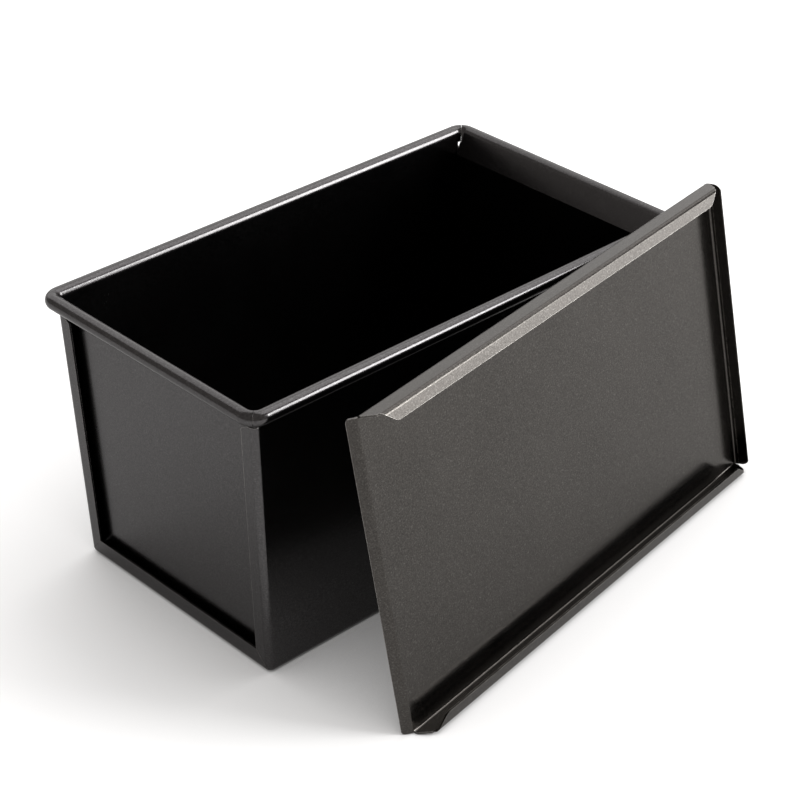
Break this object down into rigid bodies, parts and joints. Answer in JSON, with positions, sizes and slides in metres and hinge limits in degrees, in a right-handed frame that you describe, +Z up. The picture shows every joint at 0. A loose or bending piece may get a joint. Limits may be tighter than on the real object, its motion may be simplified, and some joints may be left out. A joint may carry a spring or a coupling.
{
  "type": "pullman loaf pan",
  "caption": "Straight-sided folded steel loaf pan with a rolled wire rim and a flat sliding lid with folded rails, shown taken off and leaning.",
  "frame": {"origin": "middle of the pan's flat underside", "axes": "+X along the loaf towards the end beyond the lid's tall lip, +Y across the pan away from the lid, +Z up"},
  "size_m": [0.2394, 0.1801, 0.1226],
  "materials": {
    "coated_steel": "dark non-stick coating with a fine grain, semi-gloss",
    "lid_steel": "dark non-stick coating with a fine grain, semi-gloss",
    "wire_steel": "plain drawn wire"
  },
  "bodies": {
    "pan": {"body_wrapper": "coated_steel", "end_panel_left": "coated_steel", "end_panel_right": "coated_steel", "rim_wire": "wire_steel"},
    "lid": {"lid": "lid_steel"}
  },
  "joints": [
    {"name": "lid_slide", "type": "slide", "parent": "pan", "child": "lid", "axis": [-0.9878, -0.1556, 0], "range_m": [0, 0.245]}
  ]
}
